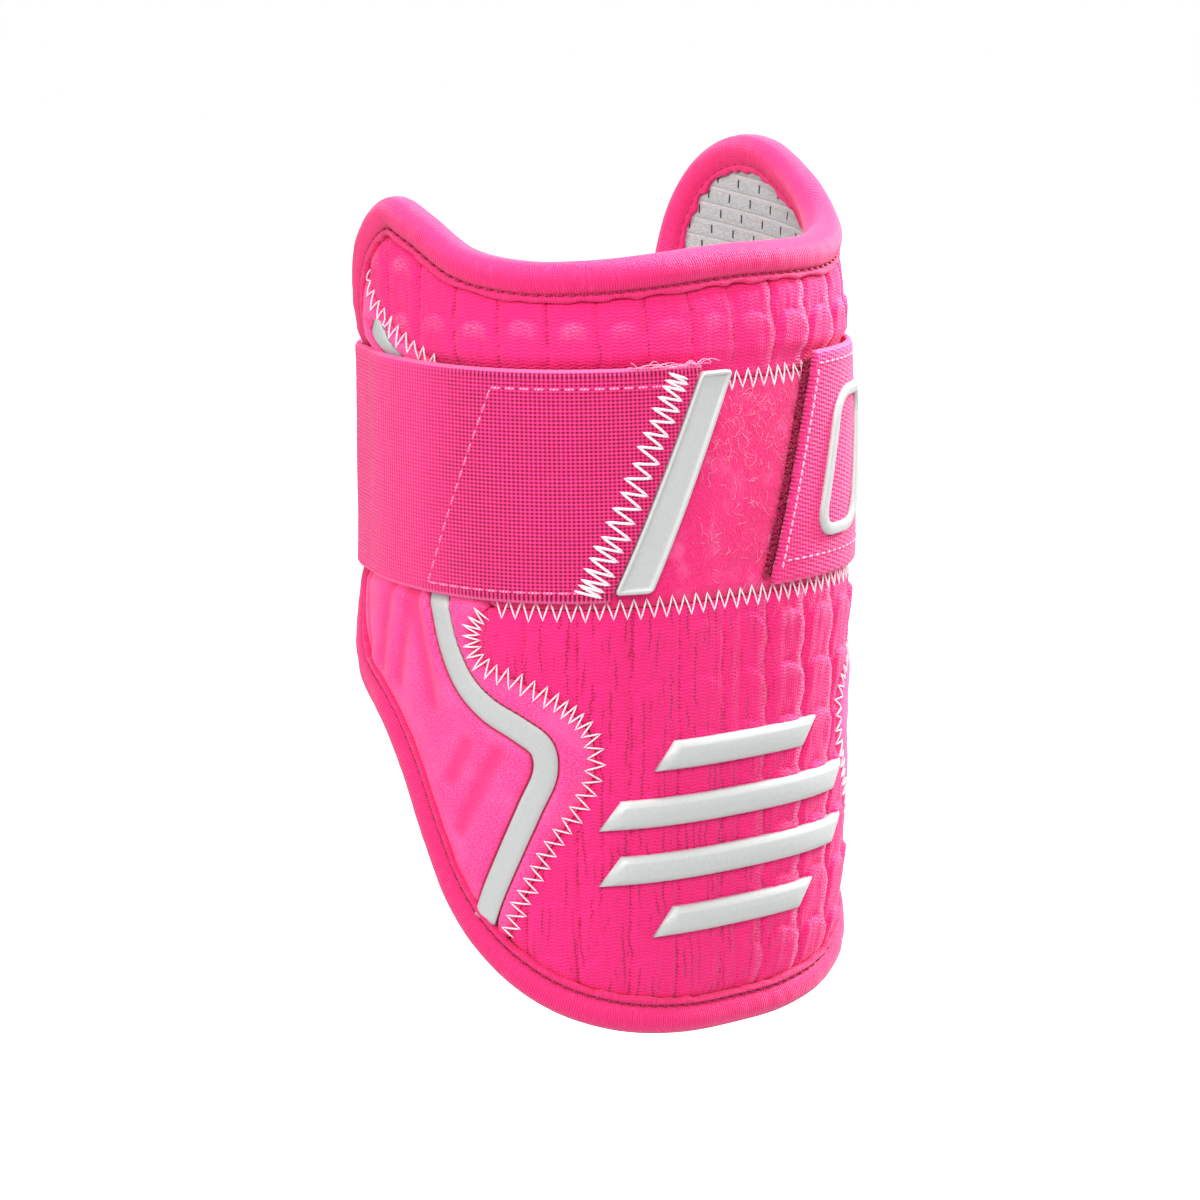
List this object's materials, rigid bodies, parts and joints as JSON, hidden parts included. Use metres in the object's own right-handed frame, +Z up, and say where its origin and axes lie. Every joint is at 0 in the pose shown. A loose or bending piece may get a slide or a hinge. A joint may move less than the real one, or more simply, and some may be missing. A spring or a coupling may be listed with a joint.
{
  "type": "batter's elbow guard",
  "caption": "Padded elbow guard: an open-backed shell with scaled foam pads, rolled edge binding and one elastic hook-and-loop strap.",
  "frame": {"origin": "on the arm's axis at the middle of the strap's height, where the guard sits on the arm", "axes": "+Z up the arm, the pads' front face towards -Y, the pull tab on the -X side"},
  "size_m": [0.1136, 0.1026, 0.1954],
  "materials": {
    "knit": "fine knit over foam",
    "loop": "brushed loop",
    "smooth": "smooth laminated fabric",
    "lining": "spacer mesh",
    "binding": "elastic binding",
    "webbing": "woven elastic webbing",
    "hook": "hook tape",
    "film": "satin light film",
    "rubber": "satin light rubber"
  },
  "bodies": {
    "root": {"upper_pad": "knit", "lower_pad": "knit", "loop_band": "loop", "wing_left": "smooth", "wing_right": "smooth", "lining": "lining", "edge_binding": "binding", "elastic_strap": "webbing", "hook_patch_left": "hook", "hook_patch_right": "hook", "pull_tab": "rubber", "strap_ring": "rubber", "stripe_upper_left": "film", "stripe_lower_left": "film", "stripe_upper_right": "film", "stripe_lower_right": "film", "front_bar_1": "rubber", "front_bar_2": "rubber", "front_bar_3": "rubber", "front_bar_4": "rubber"}
  },
  "joints": []
}
